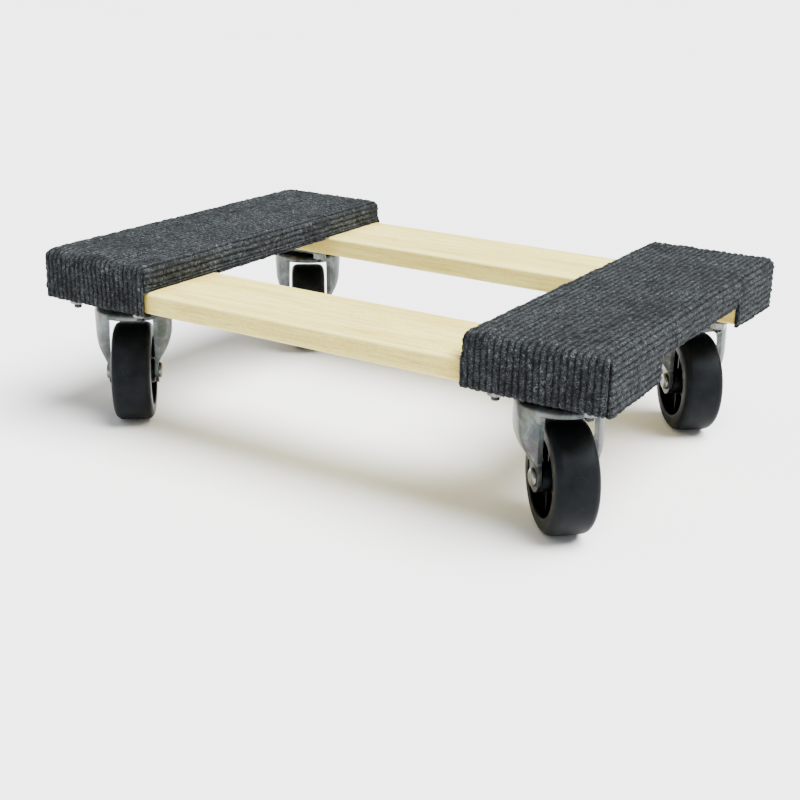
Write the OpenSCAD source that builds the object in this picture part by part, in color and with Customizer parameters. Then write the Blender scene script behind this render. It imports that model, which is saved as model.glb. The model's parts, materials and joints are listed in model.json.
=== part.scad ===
// Four-wheeled furniture dolly: two wooden rails lie under two wooden cross
// boards, each cross board wears a ribbed carpet cover, and a plate-mounted
// swivel caster is bolted under each corner.
// Millimetres. +X along the rails, +Y to the rear, +Z up, floor at z = 0.

/* [Deck] */
// overall length over the carpet covers
deck_l = 460; // [380:2:640]
// overall width over the carpet covers
deck_w = 308; // [280:2:460]
// thickness of the two rails
rail_t = 16; // [12:0.5:24]
// width of the two rails
rail_w = 77; // [72:1:100]
// thickness of the two cross boards
board_t = 16; // [12:0.5:24]
// width of the two cross boards
board_w = 95; // [90:1:130]
// radius on the long edges of the boards
edge_r = 3; // [1:0.5:6]

/* [Carpet covers] */
// thickness of the carpet
carpet_t = 3; // [2:0.5:5]
// outer radius where the carpet turns over an edge
carpet_r = 4.5; // [3.5:0.5:7]
// how far each corner flap reaches across a rail end
flap_reach = 81; // [70:1:84]
// width of the folds stapled under a cross board
under_fold = 23; // [12:1:30]
// width of the folds stapled under a rail
rail_fold = 8; // [5:1:8]
// thickness of the folds, pressed flat by the staples
fold_t = 2; // [1.5:0.5:3]

/* [Casters] */
// height from the floor to the rail underside
mount_h = 95; // [90:1:110]
// wheel diameter
wheel_d = 75; // [70:1:80]
// wheel width over the tread
wheel_w = 29; // [22:1:30]
// shoulder radius between tread and side
shoulder_r = 5.5; // [2:0.5:8]
// offset of the axle behind the swivel axis
trail = 13.5; // [8:0.5:18]
// radius of the fork crown
crown_r = 29; // [26:0.5:30]
// clear gap between the fork legs at the axle
fork_gap = 33; // [32:0.5:36]
// thickness of the fork legs
leg_t = 2; // [1.5:0.25:3]

/* [Mount plates] */
// plate length along X
plate_l = 80; // [76:1:100]
// plate width along Y
plate_w = 66; // [62:1:66]
// plate thickness
plate_t = 2.5; // [2:0.25:4]
// bolt spacing along X
bolt_dx = 64; // [60:1:80]
// bolt spacing along Y
bolt_dy = 52; // [50:1:56]
// bolt shank diameter
bolt_d = 6; // [5:0.5:7]

/* [Swivel positions] */
// direction the front left wheel trails, measured from +X
swivel_front_left = -52; // [-180:1:180]
// direction the front right wheel trails, measured from +X
swivel_front_right = -47; // [-180:1:180]
// direction the rear left wheel trails, measured from +X
swivel_rear_left = -53; // [-180:1:180]
// direction the rear right wheel trails, measured from +X
swivel_rear_right = -50; // [-180:1:180]

/* [Hidden] */
// z levels, bottom to top
rail_top = mount_h + rail_t;
board_top = rail_top + board_t;
deck_top = board_top + carpet_t;
plate_z = mount_h - plate_t;
axle_z = wheel_d / 2;

// plan positions
rail_y = deck_w / 2 - carpet_t - rail_w / 2;
board_x = deck_l / 2 - carpet_t - board_w / 2;
rail_l = deck_l - 2 * carpet_t;
board_l = deck_w - 2 * carpet_t;
cover_w = board_w + 2 * carpet_t;
rail_gap = 4;

// bolts and nuts, M6
hole_play = 0.3;
fit_play = 0.05;
head_r = 6.5;
head_t = 2.8;
seat_r = 6.9;
seat_t = 3;
bolt_top = board_top - 0.2;
bolt_end = plate_z - 8.5;
nut_r = 5.77;
nut_t = 5;

// wire staples
staple_l = 10;
staple_leg = 9.3;
wire_w = 1.2;
wire_t = 0.6;

// swivel bearing, measured down from the plate underside
plate_race_z = plate_z - 3.9;
top_ball_z = plate_z - 4.5;
crown_t = 3;
crown_z = plate_z - 5.2;
crown_under = crown_z - crown_t;
low_ball_z = crown_under - 0.9;
cap_top = crown_under - 1.5;
cap_t = 2.8;
cap_low = cap_top - cap_t;
cap_r = 14.5;
pin_head_t = 2.4;
pin_head_r = 7.5;
pin_tip_r = 5.4;
pin_r = 4;
pin_gap = 1;
race_out_r = 23;
race_in_r = 11.5;
top_race_r = 17;
low_race_r = 10.5;
top_ball_r = 2.2;
low_ball_r = 1.8;
ball_play = 0.3;
top_balls = 16;
low_balls = 12;

// fork
crown_bend = 5;
rim_t = 2.4;
skirt_z = crown_z - 7;
bend_z = crown_z - crown_bend;
foot_r = 9.5;
foot_z = 20;
foot_flare = 1.7;

// wheel and axle
axle_r = 4;
sleeve_r = 6;
hub_r = 9.5;
hub_proud = 0.8;
recess_r = 26.5;
web_t = 10;
rib_t = 2;
rib_set_in = 4.5;
rivet_r = 6.2;
rivet_t = 1.4;
rivet_tip_r = 5;
rivet_tip_t = 1.1;
leg_out = fork_gap / 2 + leg_t;

steel = [0.72, 0.73, 0.74];
bright = [0.80, 0.81, 0.82];
pine = [0.87, 0.79, 0.62];
charcoal = [0.27, 0.30, 0.33];
black = [0.06, 0.065, 0.07];

// node to draw

$fn = 96;

// ---------------------------------------------------------------- helpers

// rectangle with rounded corners, centred
module rounded_rect(w, h, r) {
  square([w - 2 * r, h], center = true);
  square([w, h - 2 * r], center = true);
  for (sx = [-1, 1]) {
    for (sy = [-1, 1]) {
      translate([sx * (w / 2 - r), sy * (h / 2 - r)]) circle(r = r);
    }
  }
}

// bar along X whose section lies in the YZ plane
module bar_x(len, w, h, r) {
  rotate([90, 0, 90]) linear_extrude(height = len, center = true) rounded_rect(w, h, r);
}

// bar along Y whose section lies in the XZ plane
module bar_y(len, w, h, r) {
  rotate([90, 0, 0]) linear_extrude(height = len, center = true) rounded_rect(w, h, r);
}

// box given by its low and high corners
module box(lo, hi) {
  translate(lo) cube([hi[0] - lo[0], hi[1] - lo[1], hi[2] - lo[2]]);
}

// put children on one caster's swivel axis
module at_caster(sx, sy) {
  translate([sx * board_x, sy * rail_y, 0]) children();
}

// the same, turned so that local +X is the trailing direction
module at_fork(sx, sy, angle) {
  translate([sx * board_x, sy * rail_y, 0]) rotate([0, 0, angle]) children();
}

// four bolt axes of one mount plate
module at_bolts() {
  for (ax = [-1, 1]) {
    for (ay = [-1, 1]) {
      translate([ax * bolt_dx / 2, ay * bolt_dy / 2, 0]) children();
    }
  }
}

// ---------------------------------------------------------------- timber

// one rail along the whole deck, drilled for the plate bolts
module rail(sy) {
  difference() {
    translate([0, sy * rail_y, mount_h + rail_t / 2]) bar_x(rail_l, rail_w, rail_t, edge_r);
    for (sx = [-1, 1]) {
      at_caster(sx, sy) at_bolts() {
        translate([0, 0, mount_h - 1]) cylinder(r = bolt_d / 2 + hole_play, h = rail_t + 2);
      }
    }
  }
}

// one board across both rails, rounded all round, with sunk seats for the bolt heads
module cross_board(sx) {
  difference() {
    translate([sx * board_x, 0, rail_top + board_t / 2]) intersection() {
      bar_y(board_l, board_w, board_t, edge_r);
      bar_x(board_w, board_l, board_t, edge_r);
    }
    for (sy = [-1, 1]) {
      at_caster(sx, sy) at_bolts() {
        translate([0, 0, rail_top - 1]) cylinder(r = bolt_d / 2 + hole_play, h = board_t + 2);
        translate([0, 0, board_top - seat_t]) cylinder(r = seat_r, h = seat_t + 1);
      }
    }
  }
}

// ---------------------------------------------------------------- carpet

// outside of a cover, before the boards are taken out of it
module cover_outside() {
  low = mount_h - fold_t;
  tall = deck_top - low;
  mid = (deck_top + low) / 2;
  intersection() {
    translate([0, 0, mid]) bar_x(cover_w, deck_w, tall, carpet_r);
    union() {
      translate([0, 0, mid]) bar_y(deck_w + 2, cover_w, tall, carpet_r);
      box([-cover_w / 2, -deck_w, low - 1], [cover_w / 2, deck_w, mid]);
    }
    translate([0, 0, low - 1]) linear_extrude(height = tall + 2) {
      rounded_rect(cover_w, deck_w, carpet_r);
    }
  }
}

// room inside a cover for the cross board and the rail ends
module cover_inside() {
  half = board_w / 2;
  r = carpet_r - carpet_t;
  tall = board_top - mount_h;
  mid = (board_top + mount_h) / 2;
  intersection() {
    translate([0, 0, mid]) bar_x(board_w, board_l, tall, r);
    union() {
      translate([0, 0, mid]) bar_y(board_l + 2, board_w, tall, r);
      box([-half, -deck_w, mount_h - 1], [half, deck_w, mid]);
    }
  }
}

// ribbed carpet wrapped round a cross board; local +X faces the deck end
module carpet_cover() {
  half = board_w / 2;
  out = cover_w / 2;
  low = mount_h - fold_t;
  flap_in = deck_w / 2 - flap_reach;
  fold_y = deck_w / 2 - rail_fold;
  strip_y = rail_y - rail_w / 2 - rail_gap;
  union() {
    difference() {
      cover_outside();
      cover_inside();
      box([-out - 1, -fold_y, low - 1], [half, fold_y, mount_h + 0.01]);
      box([-out - 1, -board_l / 2, low - 1], [-half, board_l / 2, rail_top]);
      box([half - 0.01, -flap_in, low - 1], [out + 1, flap_in, rail_top]);
    }
    for (m = [0, 1]) {
      mirror([m, 0, 0]) {
        box([out - under_fold, -strip_y, rail_top - fold_t], [out, strip_y, rail_top]);
        box([half, -strip_y, rail_top - 1], [out, strip_y, rail_top + 2]);
      }
    }
  }
}

// one wire staple, crown down, driven upwards
module staple() {
  translate([-staple_l / 2, -wire_w / 2, -wire_t]) cube([staple_l, wire_w, wire_t]);
  for (end = [-staple_l / 2, staple_l / 2 - wire_t]) {
    translate([end, -wire_w / 2, -wire_t / 2]) cube([wire_t, wire_w, staple_leg]);
  }
}

// the staples of one cover: under both rails and under the cross board
module staples() {
  out = cover_w / 2;
  for (sy = [-1, 1]) {
    for (x = [-38, -13, 13, 38]) {
      translate([x, sy * (deck_w / 2 - rail_fold + 2), mount_h - fold_t]) staple();
    }
  }
  for (sx = [-1, 1]) {
    for (y = [-50, 0, 50]) {
      translate([sx * (out - under_fold + 6), y, rail_top - fold_t]) {
        rotate([0, 0, 90]) staple();
      }
    }
  }
}

// ---------------------------------------------------------------- caster

// flat-headed bolts through board, rail and plate
module plate_bolts() {
  at_bolts() {
    translate([0, 0, bolt_end]) cylinder(r = bolt_d / 2, h = bolt_top - 1 - bolt_end);
    translate([0, 0, bolt_top - head_t]) cylinder(r = head_r, h = head_t);
  }
}

// hexagon nuts under the plate
module plate_nuts() {
  at_bolts() {
    translate([0, 0, plate_z - nut_t]) difference() {
      cylinder(r = nut_r, h = nut_t, $fn = 6);
      translate([0, 0, -1]) cylinder(r = bolt_d / 2 + fit_play, h = nut_t + 2);
    }
  }
}

// pressed mount plate with the upper ball race under it
module mount_plate() {
  difference() {
    union() {
      translate([0, 0, plate_z]) linear_extrude(height = plate_t) rounded_rect(plate_l, plate_w, 6);
      translate([0, 0, plate_race_z]) cylinder(r = race_out_r, h = plate_z - plate_race_z + 0.5);
    }
    translate([0, 0, plate_z - 1]) cylinder(r = pin_r + fit_play, h = plate_t + 2);
    translate([0, 0, plate_race_z - 1]) cylinder(r = race_in_r, h = plate_z - plate_race_z + 1);
    ball_groove(top_race_r, top_ball_r, top_ball_z);
    at_bolts() translate([0, 0, plate_z - 1]) cylinder(r = bolt_d / 2 + hole_play, h = plate_t + 2);
  }
}

// groove in which a ring of balls runs
module ball_groove(ring_r, ball_r, z) {
  translate([0, 0, z]) rotate_extrude() translate([ring_r, 0]) circle(r = ball_r + ball_play);
}

// king pin, riveted into the plate and headed under the dust cap
module king_pin() {
  translate([0, 0, cap_low]) cylinder(r = pin_r, h = mount_h - cap_low);
  translate([0, 0, cap_low - pin_head_t]) cylinder(r1 = pin_tip_r, r2 = pin_head_r, h = pin_head_t);
}

// dished cap that carries the lower balls
module dust_cap() {
  difference() {
    translate([0, 0, cap_low]) cylinder(r = cap_r, h = cap_t);
    translate([0, 0, cap_low - 1]) cylinder(r = pin_r + fit_play, h = cap_t + 2);
    ball_groove(low_race_r, low_ball_r, low_ball_z);
  }
}

// a ring of separate steel balls
module ball_ring(n, ring_r, ball_r, z) {
  for (i = [0 : n - 1]) {
    rotate([0, 0, i * 360 / n]) translate([ring_r, 0, z]) sphere(r = ball_r);
  }
}

// the balls between plate and crown
module upper_balls() {
  ball_ring(top_balls, top_race_r, top_ball_r, top_ball_z);
}

// the balls between crown and dust cap
module lower_balls() {
  ball_ring(low_balls, low_race_r, low_ball_r, low_ball_z);
}

// half-section of the round crown
module crown_section() {
  flat_r = crown_r - crown_bend;
  translate([pin_r + pin_gap, crown_under]) square([flat_r - pin_r - pin_gap, crown_t]);
  intersection() {
    translate([flat_r, bend_z]) difference() {
      circle(r = crown_bend);
      circle(r = crown_bend - rim_t);
    }
    translate([flat_r, bend_z]) square([crown_bend + 1, crown_bend + 1]);
  }
  translate([crown_r - rim_t, skirt_z]) square([rim_t, bend_z - skirt_z]);
}

// crown with its two races
module crown() {
  difference() {
    rotate_extrude() crown_section();
    ball_groove(top_race_r, top_ball_r, top_ball_z);
    ball_groove(low_race_r, low_ball_r, low_ball_z);
  }
}

// front view of both legs together: half width against height, inset by g
module leg_front(g) {
  h = leg_out - g;
  c = crown_r - g;
  right = [
    [h, foot_z], [h, axle_z + 6.7], [h + 0.5, axle_z + 8], [h + 1.6, axle_z + 10],
    [h + 3.2, axle_z + 12.5], [h + 5.1, axle_z + 15.5], [c - 3.3, axle_z + 19],
    [c - 1.9, axle_z + 22.5], [c - 1.1, axle_z + 25.5], [c - 0.5, axle_z + 32.5], [c - 0.2, bend_z]
  ];
  last = len(right) - 1;
  polygon(concat(right, [for (i = [0 : last]) [-right[last - i][0], right[last - i][1]]]));
}

// side view of a leg: straight trailing edge, swept leading edge, round foot
module leg_side() {
  polygon([
    [22, bend_z], [trail + 9.4, axle_z + 1.3], [trail, axle_z], [trail - 9.4, axle_z + 1.3],
    [trail - 9.7, axle_z + 7], [trail - 11, axle_z + 13], [trail - 12.6, axle_z + 17.5],
    [trail - 15, axle_z + 22], [trail - 17.8, axle_z + 27], [trail - 20.3, axle_z + 31],
    [trail - 23.3, axle_z + 36], [trail - 25.4, axle_z + 39], [trail - 27.6, axle_z + 41.2],
    [trail - 31, axle_z + 42.6], [-22, axle_z + 43.2], [-22, bend_z]
  ]);
  translate([trail, axle_z]) circle(r = foot_r);
}

// block bounded by the bent legs, inset by g
module leg_block(g) {
  intersection() {
    rotate([90, 0, 90]) linear_extrude(height = 90, center = true) leg_front(g);
    translate([0, 0, foot_z]) {
      cylinder(r1 = crown_r + foot_flare - g, r2 = crown_r - g, h = bend_z - foot_z);
    }
  }
}

// pressed fork: round crown with two legs bent down to the axle
module fork() {
  difference() {
    union() {
      crown();
      intersection() {
        difference() {
          leg_block(0);
          leg_block(leg_t);
        }
        rotate([90, 0, 0]) linear_extrude(height = 80, center = true) leg_side();
      }
    }
    translate([trail, 0, axle_z]) rotate([90, 0, 0]) {
      cylinder(r = axle_r + fit_play, h = 2 * crown_r, center = true);
    }
  }
}

// axle rivet with a low head on each side
module axle() {
  translate([trail, 0, axle_z]) rotate([90, 0, 0]) {
    cylinder(r = axle_r, h = 2 * leg_out + 1, center = true);
    for (m = [0, 1]) {
      mirror([0, 0, m]) {
        translate([0, 0, leg_out]) cylinder(r = rivet_r, h = rivet_t);
        translate([0, 0, leg_out + rivet_t]) cylinder(r1 = rivet_r, r2 = rivet_tip_r, h = rivet_tip_t);
      }
    }
  }
}

// spacer tube clamped between the legs
module hub_sleeve() {
  translate([trail, 0, axle_z]) rotate([90, 0, 0]) difference() {
    cylinder(r = sleeve_r, h = fork_gap, center = true);
    cylinder(r = axle_r + fit_play, h = fork_gap + 2, center = true);
  }
}

// half-section of the wheel, radius across and width up
module wheel_section() {
  difference() {
    union() {
      translate([0, -wheel_w / 2 - hub_proud]) square([hub_r, wheel_w + 2 * hub_proud]);
      translate([0, -wheel_w / 2]) square([wheel_d / 2 - shoulder_r, wheel_w]);
      translate([0, -wheel_w / 2 + shoulder_r]) square([wheel_d / 2, wheel_w - 2 * shoulder_r]);
      for (s = [-1, 1]) {
        translate([wheel_d / 2 - shoulder_r, s * (wheel_w / 2 - shoulder_r)]) circle(r = shoulder_r);
      }
    }
    for (m = [0, 1]) {
      mirror([0, m]) {
        translate([hub_r, web_t / 2]) square([recess_r - hub_r, wheel_w]);
      }
    }
    translate([-1, -wheel_w]) square([sleeve_r + fit_play + 1, 2 * wheel_w]);
  }
}

// moulded wheel with a recessed web and radial ribs on each side
module wheel() {
  translate([trail, 0, axle_z]) rotate([90, 0, 0]) {
    rotate_extrude() wheel_section();
    difference() {
      for (i = [0 : 2]) {
        rotate([0, 0, i * 60 + 30]) {
          cube([2 * recess_r + 1, rib_t, wheel_w - 2 * rib_set_in], center = true);
        }
      }
      cylinder(r = hub_r - 1, h = wheel_w + 4, center = true);
    }
  }
}

// ---------------------------------------------------------------- nodes

module rail_front() { color(pine) rail(-1); }
module rail_rear() { color(pine) rail(1); }
module cross_board_left() { color(pine) cross_board(-1); }
module cross_board_right() { color(pine) cross_board(1); }
module carpet_cover_left() {
  color(charcoal) translate([-board_x, 0, 0]) mirror([1, 0, 0]) carpet_cover();
}
module carpet_cover_right() { color(charcoal) translate([board_x, 0, 0]) carpet_cover(); }
module carpet_staples_left() { color(steel) translate([-board_x, 0, 0]) staples(); }
module carpet_staples_right() { color(steel) translate([board_x, 0, 0]) staples(); }

module front_left_plate_bolts() { color(bright) at_caster(-1, -1) plate_bolts(); }
module front_left_plate_nuts() { color(bright) at_caster(-1, -1) plate_nuts(); }
module front_left_plate() { color(steel) at_caster(-1, -1) mount_plate(); }
module front_left_king_pin() { color(bright) at_caster(-1, -1) king_pin(); }
module front_left_dust_cap() { color(steel) at_caster(-1, -1) dust_cap(); }
module front_left_top_balls() {
  color(bright) at_fork(-1, -1, swivel_front_left) upper_balls();
}
module front_left_bottom_balls() {
  color(bright) at_fork(-1, -1, swivel_front_left) lower_balls();
}
module front_left_fork() { color(steel) at_fork(-1, -1, swivel_front_left) fork(); }
module front_left_axle() { color(bright) at_fork(-1, -1, swivel_front_left) axle(); }
module front_left_hub_sleeve() { color(steel) at_fork(-1, -1, swivel_front_left) hub_sleeve(); }
module front_left_wheel() { color(black) at_fork(-1, -1, swivel_front_left) wheel(); }

module front_right_plate_bolts() { color(bright) at_caster(1, -1) plate_bolts(); }
module front_right_plate_nuts() { color(bright) at_caster(1, -1) plate_nuts(); }
module front_right_plate() { color(steel) at_caster(1, -1) mount_plate(); }
module front_right_king_pin() { color(bright) at_caster(1, -1) king_pin(); }
module front_right_dust_cap() { color(steel) at_caster(1, -1) dust_cap(); }
module front_right_top_balls() {
  color(bright) at_fork(1, -1, swivel_front_right) upper_balls();
}
module front_right_bottom_balls() {
  color(bright) at_fork(1, -1, swivel_front_right) lower_balls();
}
module front_right_fork() { color(steel) at_fork(1, -1, swivel_front_right) fork(); }
module front_right_axle() { color(bright) at_fork(1, -1, swivel_front_right) axle(); }
module front_right_hub_sleeve() { color(steel) at_fork(1, -1, swivel_front_right) hub_sleeve(); }
module front_right_wheel() { color(black) at_fork(1, -1, swivel_front_right) wheel(); }

module rear_left_plate_bolts() { color(bright) at_caster(-1, 1) plate_bolts(); }
module rear_left_plate_nuts() { color(bright) at_caster(-1, 1) plate_nuts(); }
module rear_left_plate() { color(steel) at_caster(-1, 1) mount_plate(); }
module rear_left_king_pin() { color(bright) at_caster(-1, 1) king_pin(); }
module rear_left_dust_cap() { color(steel) at_caster(-1, 1) dust_cap(); }
module rear_left_top_balls() {
  color(bright) at_fork(-1, 1, swivel_rear_left) upper_balls();
}
module rear_left_bottom_balls() {
  color(bright) at_fork(-1, 1, swivel_rear_left) lower_balls();
}
module rear_left_fork() { color(steel) at_fork(-1, 1, swivel_rear_left) fork(); }
module rear_left_axle() { color(bright) at_fork(-1, 1, swivel_rear_left) axle(); }
module rear_left_hub_sleeve() { color(steel) at_fork(-1, 1, swivel_rear_left) hub_sleeve(); }
module rear_left_wheel() { color(black) at_fork(-1, 1, swivel_rear_left) wheel(); }

module rear_right_plate_bolts() { color(bright) at_caster(1, 1) plate_bolts(); }
module rear_right_plate_nuts() { color(bright) at_caster(1, 1) plate_nuts(); }
module rear_right_plate() { color(steel) at_caster(1, 1) mount_plate(); }
module rear_right_king_pin() { color(bright) at_caster(1, 1) king_pin(); }
module rear_right_dust_cap() { color(steel) at_caster(1, 1) dust_cap(); }
module rear_right_top_balls() {
  color(bright) at_fork(1, 1, swivel_rear_right) upper_balls();
}
module rear_right_bottom_balls() {
  color(bright) at_fork(1, 1, swivel_rear_right) lower_balls();
}
module rear_right_fork() { color(steel) at_fork(1, 1, swivel_rear_right) fork(); }
module rear_right_axle() { color(bright) at_fork(1, 1, swivel_rear_right) axle(); }
module rear_right_hub_sleeve() { color(steel) at_fork(1, 1, swivel_rear_right) hub_sleeve(); }
module rear_right_wheel() { color(black) at_fork(1, 1, swivel_rear_right) wheel(); }

rail_front();
rail_rear();
cross_board_left();
cross_board_right();
carpet_cover_left();
carpet_cover_right();
carpet_staples_left();
carpet_staples_right();
front_left_plate_bolts();
front_left_plate_nuts();
front_left_plate();
front_left_king_pin();
front_left_dust_cap();
front_left_top_balls();
front_left_bottom_balls();
front_left_fork();
front_left_axle();
front_left_hub_sleeve();
front_left_wheel();
front_right_plate_bolts();
front_right_plate_nuts();
front_right_plate();
front_right_king_pin();
front_right_dust_cap();
front_right_top_balls();
front_right_bottom_balls();
front_right_fork();
front_right_axle();
front_right_hub_sleeve();
front_right_wheel();
rear_left_plate_bolts();
rear_left_plate_nuts();
rear_left_plate();
rear_left_king_pin();
rear_left_dust_cap();
rear_left_top_balls();
rear_left_bottom_balls();
rear_left_fork();
rear_left_axle();
rear_left_hub_sleeve();
rear_left_wheel();
rear_right_plate_bolts();
rear_right_plate_nuts();
rear_right_plate();
rear_right_king_pin();
rear_right_dust_cap();
rear_right_top_balls();
rear_right_bottom_balls();
rear_right_fork();
rear_right_axle();
rear_right_hub_sleeve();
rear_right_wheel();
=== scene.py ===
import json
import math
from functools import partial

import bpy
import numpy as np
from mathutils import Matrix, Vector


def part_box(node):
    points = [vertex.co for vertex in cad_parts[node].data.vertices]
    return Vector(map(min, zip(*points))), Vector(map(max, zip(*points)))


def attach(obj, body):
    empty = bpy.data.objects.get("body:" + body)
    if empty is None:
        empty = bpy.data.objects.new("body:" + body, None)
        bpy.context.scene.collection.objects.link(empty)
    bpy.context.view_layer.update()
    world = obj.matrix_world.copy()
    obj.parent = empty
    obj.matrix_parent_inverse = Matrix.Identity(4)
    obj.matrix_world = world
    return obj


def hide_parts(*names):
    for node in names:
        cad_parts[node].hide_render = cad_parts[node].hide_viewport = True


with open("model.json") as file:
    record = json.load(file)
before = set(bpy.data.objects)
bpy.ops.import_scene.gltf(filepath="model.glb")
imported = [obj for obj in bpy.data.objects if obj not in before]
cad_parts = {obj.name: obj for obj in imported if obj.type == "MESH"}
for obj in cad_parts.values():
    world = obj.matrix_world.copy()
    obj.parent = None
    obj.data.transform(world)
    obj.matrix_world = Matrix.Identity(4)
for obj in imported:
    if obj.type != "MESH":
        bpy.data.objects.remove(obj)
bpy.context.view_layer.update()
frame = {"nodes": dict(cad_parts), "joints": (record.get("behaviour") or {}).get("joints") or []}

# A furniture dolly: two carpeted cross boards on two rails, with four swivel casters.
# Metres, in the CAD frame: +X along the rails, +Y to the rear, +Z up, floor at z = 0.

MM = 0.001
TINY = 1e-9             # a smaller length in metres, or a smaller slope, counts as none
CORNERS = ("front_left", "front_right", "rear_left", "rear_right")
SIDES = (-1, 1)


# ------------ noise and curves

def lattice(ix, iy, iz, seed):
    """A repeatable number from 0 to 1 for every lattice point."""
    h = (ix * 374761393 + iy * 668265263 + iz * 1440662683 + seed * 1274126177) & 0xFFFFFFFF
    h = ((h ^ (h >> 13)) * 1103515245) & 0xFFFFFFFF
    return ((h ^ (h >> 16)) & 0xFFFF) / 65535.0


def noise3(points, size, seed):
    """Smooth noise from -1 to 1 at an array of points, with lumps of about that size."""
    scaled = points / size
    cell = np.floor(scaled).astype(np.int64)
    part = scaled - cell
    part = part * part * (3 - 2 * part)
    total = np.zeros(len(points))
    for corner in np.ndindex(2, 2, 2):
        weight = np.prod(np.where(corner, part, 1 - part), axis=1)
        ix, iy, iz = (cell + corner).T
        total += weight * lattice(ix, iy, iz, seed)
    return 2 * total - 1


def smooth_step(x, start, end):
    """0 before start, 1 after end, smooth between."""
    t = np.clip((x - start) / (end - start), 0, 1)
    return t * t * (3 - 2 * t)


def curve_through(points, x):
    """Height at x of a smooth curve through the points, which are sorted by their first number."""
    px, py = np.array(points, float).T
    slope = np.gradient(py, px)
    i = np.clip(np.searchsorted(px, x) - 1, 0, len(px) - 2)
    width = px[i + 1] - px[i]
    t = np.clip((x - px[i]) / width, 0, 1)
    start = (1 + 2 * t) * (1 - t) ** 2 * py[i] + t * (1 - t) ** 2 * width * slope[i]
    end = t * t * (3 - 2 * t) * py[i + 1] + t * t * (t - 1) * width * slope[i + 1]
    return start + end


# ------------ mesh helpers

def make_object(name, verts, faces, material, sharp_deg=35):
    """A smooth-shaded mesh object that keeps the edges sharper than an angle."""
    mesh = bpy.data.meshes.new(name)
    mesh.from_pydata([tuple(v) for v in verts], [], faces)
    mesh.validate()
    mesh.shade_smooth()
    mesh.set_sharp_from_angle(angle=math.radians(sharp_deg))
    mesh.materials.append(material)
    piece = bpy.data.objects.new(name, mesh)
    bpy.context.scene.collection.objects.link(piece)
    return piece


class Solid:
    """Vertices and faces of a piece that is put together from closed shells."""

    def __init__(self):
        self.verts = []
        self.faces = []

    def add(self, verts, faces, place):
        """Adds a shell, moved by the matrix place."""
        first = len(self.verts)
        self.verts += [tuple(place @ Vector(v)) for v in verts]
        self.faces += [[i + first for i in face] for face in faces]


def turned_points(section, steps):
    """The points of a section, turned about Z in even steps."""
    angles = [2 * math.pi * k / steps for k in range(steps)]
    return [(r * math.cos(a), r * math.sin(a), z) for a in angles for r, z in section]


def lathe(section, steps):
    """A closed section of (radius, height) points, anticlockwise, turned about Z."""
    count = len(section)
    verts = turned_points(section, steps)
    faces = []
    for k in range(steps):
        a = k * count
        b = (k + 1) % steps * count
        for i in range(count):
            j = (i + 1) % count
            faces.append([a + i, b + i, b + j, a + j])
    return verts, faces


def lathe_closed(section, steps):
    """A section whose first and last points are on the axis, turned about Z."""
    inner = section[1:-1]
    count = len(inner)
    verts = turned_points(inner, steps)
    low, high = len(verts), len(verts) + 1
    verts += [(0, 0, section[0][1]), (0, 0, section[-1][1])]
    faces = []
    for k in range(steps):
        a = k * count
        b = (k + 1) % steps * count
        faces.append([low, b, a])
        faces.append([a + count - 1, b + count - 1, high])
        for i in range(count - 1):
            faces.append([a + i, b + i, b + i + 1, a + i + 1])
    return verts, faces


def arc(cx, cy, radius, start, end, steps):
    """Points on an arc, angles in degrees."""
    angles = [math.radians(start + (end - start) * k / steps) for k in range(steps + 1)]
    return [(cx + radius * math.cos(a), cy + radius * math.sin(a)) for a in angles]


def box_shell(lo, hi):
    """The corners and faces of a box."""
    verts = [(x, y, z) for x in (lo[0], hi[0]) for y in (lo[1], hi[1]) for z in (lo[2], hi[2])]
    faces = [[0, 1, 3, 2], [4, 6, 7, 5], [0, 4, 5, 1], [2, 3, 7, 6], [0, 2, 6, 4], [1, 5, 7, 3]]
    return verts, faces


def bevel(piece, width, angle_deg):
    """Rounds the edges of a piece that are sharper than an angle."""
    mod = piece.modifiers.new("bevel", "BEVEL")
    mod.width = width
    mod.segments = 2
    mod.limit_method = "ANGLE"
    mod.angle_limit = math.radians(angle_deg)
    mod.harden_normals = False


# ------------ material helpers

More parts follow.
